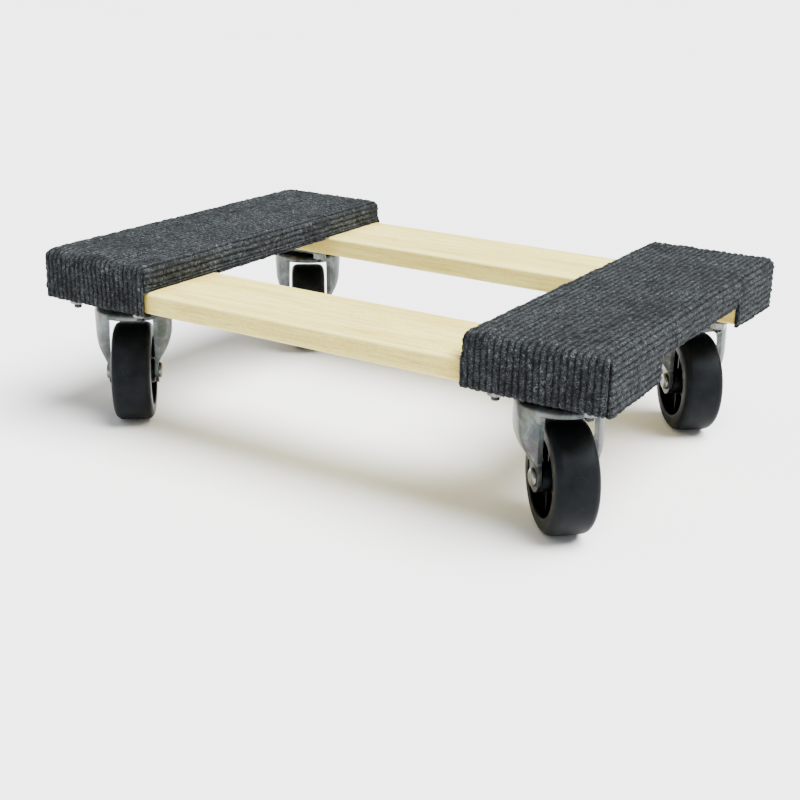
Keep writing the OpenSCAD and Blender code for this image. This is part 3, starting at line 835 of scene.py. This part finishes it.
PLATE_Z = nut_hi.z
NUT_H = nut_hi.z - nut_lo.z
NUT_FLAT = 5.0 * MM                         # half the nut's width across its flats
NUT_STEPS = 60
CHAMFER = 0.58                              # rise for each unit outwards, about 30 degrees
BOLT_R = 3.0 * MM
BOLT_ROOT_R = 2.55 * MM
BOLT_HEAD_R, BOLT_HEAD_H = 6.5 * MM, 2.8 * MM
THREAD_PITCH = 1 * MM
BOLT_DX = 32.0 * MM
BOLT_DY = 26.0 * MM


def joint(name):
    """A joint's record, by name."""
    return next(j for j in frame["joints"] if j["name"] == name)


def caster_place(corner):
    """The matrix from a caster's own frame, floor at z = 0 and +X trailing, to the dolly's."""
    centre = Vector(joint(f"{corner}_swivel")["pos_m"])
    axis = joint(f"{corner}_roll")["axis"]
    turn = math.atan2(-axis[0], axis[1])
    return Matrix.Translation((centre.x, centre.y, 0)) @ Matrix.Rotation(turn, 4, "Z")


def wheel_place(corner):
    """The matrix from a wheel's own frame, with its axle along Z, to the dolly's."""
    lift = Matrix.Translation((TRAIL, 0, WHEEL_R)) @ Matrix.Rotation(math.pi / 2, 4, "X")
    return caster_place(corner) @ lift


def leg_half_width(z):
    """Outer half width of the two legs at a height, in metres."""
    half = [(-13, 18.5), (0, 18.5), (6, 18.6), (8, 19.0), (10, 20.1), (12.5, 21.7), (15.5, 23.6),
            (19, 25.7), (22.5, 27.1), (25.5, 27.9), (32.5, 28.6), (41, 29.6), (50, 32)]
    return MM * curve_through(half, (z - WHEEL_R) / MM)


def leg_edges(z):
    """Leading and trailing edges of a leg above the axle, measured from the swivel axis."""
    lead = [(0, -9.5), (7, -9.8), (13, -11), (17.5, -12.6), (22, -15), (27, -17.8), (31, -20.3),
            (36, -23.3), (39, -25.4), (41, -27.4), (42.3, -30), (43, -34), (43.6, -35.5),
            (50, -35.5)]
    back = [(0, 9.5), (10, 9.2), (30, 8.7), (50, 8.4)]
    rise = (z - WHEEL_R) / MM
    return TRAIL + MM * curve_through(lead, rise), TRAIL + MM * curve_through(back, rise)


def leg_surface(t, z, inset):
    """Half width of the legs at a point: flat flanks that run into the round of the crown."""
    flat = leg_half_width(z) - inset
    bend_z = CROWN_Z - BEND_R
    over = np.clip(z - bend_z, 0, BEND_R)
    round_r = CROWN_R - BEND_R + np.sqrt(BEND_R ** 2 - over ** 2) + 0.06 * MM
    round_r = round_r + LEG_TAPER * np.maximum(bend_z - z, 0) - inset
    round_part = np.sqrt(np.maximum(round_r ** 2 - t ** 2, (0.1 * MM) ** 2))
    share = np.clip(0.5 + 0.5 * (round_part - flat) / LEG_SOFT, 0, 1)
    return round_part + (flat - round_part) * share - LEG_SOFT * share * (1 - share)


def leg_rows():
    """The rows of a leg from its foot up: heights, and leading and trailing edges."""
    round_foot = np.radians(np.linspace(7, 88, FOOT_ROWS))
    straight = np.linspace(WHEEL_R + 1 * MM, WHEEL_R + 37 * MM, LEG_ROWS)
    bend = np.linspace(WHEEL_R + 37.6 * MM, CROWN_Z - 1.6 * MM, BEND_ROWS)
    z = np.concatenate([WHEEL_R - FOOT_R * np.cos(round_foot), straight, bend])
    lead, back = leg_edges(z)
    half = FOOT_R * np.sin(round_foot)
    lead[:FOOT_ROWS], back[:FOOT_ROWS] = TRAIL - half, TRAIL + half
    return z, lead, back


def fork_leg(side):
    """One pressed leg, from its round foot up into the crown."""
    width = LEG_STEPS + 1
    share = np.linspace(0, 1, width)
    outer, inner = [], []
    for z, lead, back in zip(*leg_rows()):
        t = lead + (back - lead) * share
        for face, inset in ((outer, 0.0), (inner, LEG_T)):
            out = side * leg_surface(t, np.full(width, z), inset)
            face += [(across, away, z) for across, away in zip(t, out)]
    rows = len(outer) // width
    behind = len(outer)
    faces = []
    for i in range(rows - 1):
        for j in range(LEG_STEPS):
            a = i * width + j
            faces.append([a, a + 1, a + width + 1, a + width])
            faces.append([behind + a, behind + a + width, behind + a + width + 1, behind + a + 1])
    rim = list(range(width))
    rim += [i * width + LEG_STEPS for i in range(1, rows)]
    rim += [(rows - 1) * width + j for j in range(LEG_STEPS - 1, -1, -1)]
    rim += [i * width for i in range(rows - 2, 0, -1)]
    for a, b in zip(rim, rim[1:] + rim[:1]):
        faces.append([b, a, behind + a, behind + b])
    if side > 0:
        faces = [face[::-1] for face in faces]
    return outer + inner, faces


def crown_section():
    """Half section of the crown with its two ball grooves and its down-turned rim."""
    top, under = CROWN_Z, CROWN_Z - CROWN_T
    flat_r = CROWN_R - BEND_R
    hole = CROWN_HOLE_R
    section = [(hole, under)]
    section += arc(LOWER_BALLS_R, under - 0.9 * MM, 2.1 * MM, 155, 25, 10)
    section += [(flat_r - 1.2 * MM, under)]
    section += arc(flat_r - 1.2 * MM, under - 1.2 * MM - 0.8 * MM, 2.0 * MM, 90, 8, 5)[1:]
    foot = top - RIM_DROP
    section += [(CROWN_R - RIM_T, foot + 0.5 * MM), (CROWN_R - RIM_T + 0.5 * MM, foot)]
    section += [(CROWN_R - 0.6 * MM, foot), (CROWN_R, foot + 0.6 * MM)]
    section += arc(flat_r, top - BEND_R, BEND_R, 0, 90, 12)
    section += arc(UPPER_BALLS_R, top + 0.7 * MM, 2.5 * MM, -16, -164, 12)
    section += [(hole + 0.5 * MM, top), (hole, top - 0.5 * MM)]
    return section


def fork(corner):
    """The pressed fork: crown and two legs."""
    solid = Solid()
    place = caster_place(corner)
    solid.add(*lathe(crown_section(), steps=120), place)
    for side in SIDES:
        solid.add(*fork_leg(side), place)
    piece = make_object(f"{corner}_pressed_fork", solid.verts, solid.faces, ZINC, sharp_deg=40)
    bevel(piece, SOFT_EDGE, angle_deg=50)
    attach(piece, f"{corner}_caster")
    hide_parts(f"{corner}_fork")


def wheel_section():
    """Half section of the moulded wheel, from the bore round to the bore again."""
    tread_edge = WHEEL_R - SHOULDER_R - 0.1 * MM
    upper = [(BORE_R, HUB_HALF - 0.5 * MM), (BORE_R + 0.5 * MM, HUB_HALF)]
    upper += [(HUB_R - 0.8 * MM, HUB_HALF), (HUB_R, HUB_HALF - 0.8 * MM)]
    upper += [(HUB_R + 0.5 * MM, WEB_HALF + 1.4 * MM)]
    upper += arc(HUB_R + 2 * MM, WEB_HALF + 1.5 * MM, 1.5 * MM, 180, 270, 4)
    upper += arc(RECESS_R - 2.6 * MM, WEB_HALF + 1.8 * MM, 1.8 * MM, -90, -4, 4)
    upper += [(RECESS_R - 0.2 * MM, WHEEL_HALF - 1.4 * MM)]
    upper += arc(RECESS_R + 0.8 * MM, WHEEL_HALF - 1.0 * MM, 1.0 * MM, 180, 90, 4)
    upper += arc(tread_edge, WHEEL_HALF - SHOULDER_R, SHOULDER_R, 88, 4, 12)
    upper += [(WHEEL_R - 0.04 * MM, 6 * MM), (WHEEL_R, 2 * MM)]
    return upper + [(r, -z) for r, z in reversed(upper)]


def mark_wheel(piece, place):
    """Stores where a wheel has its worn tread and where its recesses get painted shade."""
    axis = (place.to_3x3() @ Vector((0, 0, 1))).normalized()
    tread, recess_shade = [], []
    for vert in piece.data.vertices:
        away = vert.co - place.translation
        along = away.dot(axis)
        radial = (away - axis * along).length
        tread.append(1.0 if radial > WHEEL_R - TREAD_DEPTH else 0.0)
        sunk = abs(along) < WHEEL_HALF - RECESS_SHADE_DEPTH or radial < HUB_SHADE_R
        recess_shade.append(1.0 if radial < RECESS_SHADE_R and sunk else 0.0)
    for name, values in (("tread", tread), ("recess_shade", recess_shade)):
        layer = piece.data.attributes.new(name, "FLOAT", "POINT")
        layer.data.foreach_set("value", values)


def wheel(corner):
    """A black moulded wheel with a recessed web and six ribs on each side."""
    solid = Solid()
    place = wheel_place(corner)
    solid.add(*lathe(wheel_section()[::-1], steps=144), place)
    for side in SIDES:
        low, high = sorted((side * RIB_LO[2], side * RIB_HI[2]))
        shell = box_shell((*RIB_LO[:2], low), (*RIB_HI[:2], high))
        for k in range(WHEEL_RIBS):
            turn = Matrix.Rotation(math.radians(360 / WHEEL_RIBS * (k + 0.5)), 4, "Z")
            solid.add(*shell, place @ turn)
    piece = make_object(f"{corner}_moulded_wheel", solid.verts, solid.faces, BLACK, sharp_deg=42)
    mark_wheel(piece, place)
    bevel(piece, SOFT_EDGE, angle_deg=55)
    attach(piece, f"{corner}_roller")
    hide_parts(f"{corner}_wheel")


def axle(corner):
    """The axle rivet with its two domed, peened heads."""
    shaft = 4.0     # this and the head's (radius, height) points are in millimetres
    head = [(0, 2.35), (2.0, 2.45), (3.6, 2.5), (4.9, 2.3), (5.7, 1.85), (6.2, 1.1), (6.15, 0.05),
            (shaft, 0)]
    section = [(r * MM, -LEG_OUT - h * MM) for r, h in head] + [(shaft * MM, 0)]
    section += [(r * MM, LEG_OUT + h * MM) for r, h in reversed(head)]
    solid = Solid()
    solid.add(*lathe_closed(section, steps=64), wheel_place(corner))
    piece = make_object(f"{corner}_axle_rivet", solid.verts, solid.faces, BRIGHT, sharp_deg=50)
    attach(piece, f"{corner}_caster")
    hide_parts(f"{corner}_axle")


def bolt_places(corner):
    """Where the four bolts of a plate stand."""
    centre = Vector(joint(f"{corner}_swivel")["pos_m"])
    return [(centre.x + sx * BOLT_DX, centre.y + sy * BOLT_DY) for sx in SIDES for sy in SIDES]


def nut_shell(turn_deg):
    """A hexagon nut with chamfered corners, standing from z = 0 up to its height."""
    bore = BOLT_R + 0.05 * MM
    sections = []
    for k in range(NUT_STEPS):
        angle = 2 * math.pi * k / NUT_STEPS
        off_flat = (math.degrees(angle) - turn_deg) % 60 - 30
        reach = NUT_FLAT / math.cos(math.radians(off_flat))
        chamfer = (reach - NUT_FLAT) * CHAMFER
        section = [(bore, 0.6 * MM), (BOLT_R + 0.6 * MM, 0), (NUT_FLAT - 0.15 * MM, 0),
                   (reach, 0.12 * MM + chamfer), (reach, NUT_H), (bore, NUT_H)]
        sections.append([(r * math.cos(angle), r * math.sin(angle), z) for r, z in section])
    rings = list(zip(*sections))
    verts = [v for ring in rings for v in ring]
    faces = []
    for i in range(len(rings)):
        a, b = i * NUT_STEPS, (i + 1) % len(rings) * NUT_STEPS
        for k in range(NUT_STEPS):
            n = (k + 1) % NUT_STEPS
            faces.append([a + k, b + k, b + n, a + n])
    return verts, faces


def plate_nuts(corner, seed):
    """The four nuts under a mount plate."""
    solid = Solid()
    for k, (x, y) in enumerate(bolt_places(corner)):
        turn = (seed * 37 + k * 23) % 60    # each nut is turned its own way
        solid.add(*nut_shell(turn), Matrix.Translation((x, y, PLATE_Z - NUT_H)))
    piece = make_object(f"{corner}_hex_nuts", solid.verts, solid.faces, BRIGHT, sharp_deg=28)
    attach(piece, "frame")
    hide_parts(f"{corner}_plate_nuts")


def plate_bolts(corner):
    """The four bolts of a mount plate, with a threaded tip below the nuts."""
    tip = bolt_lo.z
    under_head = bolt_hi.z - BOLT_HEAD_H
    section = [(0, tip), (2.1 * MM, tip), (2.6 * MM, tip + 0.4 * MM)]
    z = tip + 0.4 * MM
    while z < PLATE_Z + 1 * MM:
        section += [(BOLT_R, z + 0.35 * THREAD_PITCH), (BOLT_R, z + 0.5 * THREAD_PITCH)]
        section += [(BOLT_ROOT_R, z + 0.9 * THREAD_PITCH)]
        z += THREAD_PITCH
    section += [(BOLT_R, z + 0.5 * MM), (BOLT_R, under_head), (BOLT_HEAD_R, under_head)]
    section += [(BOLT_HEAD_R, bolt_hi.z - 0.6 * MM), (BOLT_HEAD_R - 0.6 * MM, bolt_hi.z)]
    section += [(0, bolt_hi.z)]
    solid = Solid()
    for x, y in bolt_places(corner):
        solid.add(*lathe_closed(section, steps=36), Matrix.Translation((x, y, 0)))
    piece = make_object(f"{corner}_bolts", solid.verts, solid.faces, BRIGHT, sharp_deg=30)
    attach(piece, "frame")
    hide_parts(f"{corner}_plate_bolts")


for number, corner_name in enumerate(CORNERS):
    fork(corner_name)
    wheel(corner_name)
    axle(corner_name)
    plate_nuts(corner_name, number)
    plate_bolts(corner_name)


# ------------ CAD nodes that stay

def finish_node(node, material, soft_edge=0.0):
    """Gives a CAD node its material, and rounds its sharp edges by soft_edge if that is given."""
    piece = frame["nodes"][node]
    piece.data.materials.clear()
    piece.data.materials.append(material)
    if soft_edge:
        weld = piece.modifiers.new("weld", "WELD")
        weld.merge_threshold = 0.001 * MM
        bevel(piece, soft_edge, angle_deg=40)


for wood_node in ("rail_front", "rail_rear", "cross_board_left", "cross_board_right"):
    finish_node(wood_node, WOOD)
for cover_side in ("left", "right"):
    finish_node(f"carpet_staples_{cover_side}", BRIGHT)
for corner_name in CORNERS:
    finish_node(f"{corner_name}_plate", ZINC, PLATE_EDGE)
    finish_node(f"{corner_name}_dust_cap", ZINC)
    finish_node(f"{corner_name}_hub_sleeve", ZINC)
    finish_node(f"{corner_name}_king_pin", BRIGHT)
    finish_node(f"{corner_name}_top_balls", BALLS)
    finish_node(f"{corner_name}_bottom_balls", BALLS)


# ------------ studio

def floor():
    """A wide pale floor, just below the wheels."""
    half, z = 16.0, -0.2 * MM
    verts = [(-half, -half, z), (half, -half, z), (half, half, z), (-half, half, z)]
    piece = make_object("floor", verts, [[0, 1, 2, 3]], floor_material())


def surroundings():
    """Pale surroundings, brightest at the horizon."""
    horizon, overhead, fade_height = 4.2, 0.82, 0.10
    world = bpy.data.worlds.new("studio")
    world.use_nodes = True
    nodes, links = world.node_tree.nodes, world.node_tree.links
    sky = nodes["Background"]
    sky.inputs["Color"].default_value = (0.96, 0.98, 1.0, 1)
    split = nodes.new("ShaderNodeSeparateXYZ")
    links.new(nodes.new("ShaderNodeTexCoord").outputs["Generated"], split.inputs[0])
    fade = nodes.new("ShaderNodeMapRange")
    fade.interpolation_type = "SMOOTHSTEP"
    fade.inputs["From Max"].default_value = fade_height
    fade.inputs["To Min"].default_value = horizon
    fade.inputs["To Max"].default_value = overhead
    links.new(split.outputs["Z"], fade.inputs["Value"])
    links.new(fade.outputs["Result"], sky.inputs["Strength"])
    bpy.context.scene.world = world


def overhead_light():
    """One broad, soft light from above, from the right rear."""
    shines = Vector((-0.45, -0.12, -0.88))
    data = bpy.data.lights.new("overhead", "SUN")
    data.energy = 15.0
    data.angle = math.radians(45)
    lamp = bpy.data.objects.new("overhead", data)
    lamp.rotation_mode = "QUATERNION"
    lamp.rotation_quaternion = shines.to_track_quat("-Z", "Y")
    bpy.context.scene.collection.objects.link(lamp)


def camera():
    """The camera, low in front of the dolly and to its right."""
    azimuth, elevation, roll = (math.radians(v) for v in (31.879, 19.826, 1.16))
    target = Vector((28.37, -59.16, 35.85)) * MM
    distance = 953.34 * MM
    back = Vector((math.sin(azimuth) * math.cos(elevation),
                   -math.cos(azimuth) * math.cos(elevation), math.sin(elevation)))
    level = (-back).cross(Vector((0, 0, 1))).normalized()
    upright = level.cross(-back)
    right = level * math.cos(roll) + upright * math.sin(roll)
    up = upright * math.cos(roll) - level * math.sin(roll)
    data = bpy.data.cameras.new("camera")
    data.lens = 58.85
    data.sensor_width = 36
    data.clip_start = 0.01
    data.clip_end = 100
    cam = bpy.data.objects.new("camera", data)
    turn = Matrix((right, up, back)).transposed()
    cam.matrix_world = Matrix.Translation(target + back * distance) @ turn.to_4x4()
    bpy.context.scene.collection.objects.link(cam)
    bpy.context.scene.camera = cam


floor()
surroundings()
overhead_light()
camera()
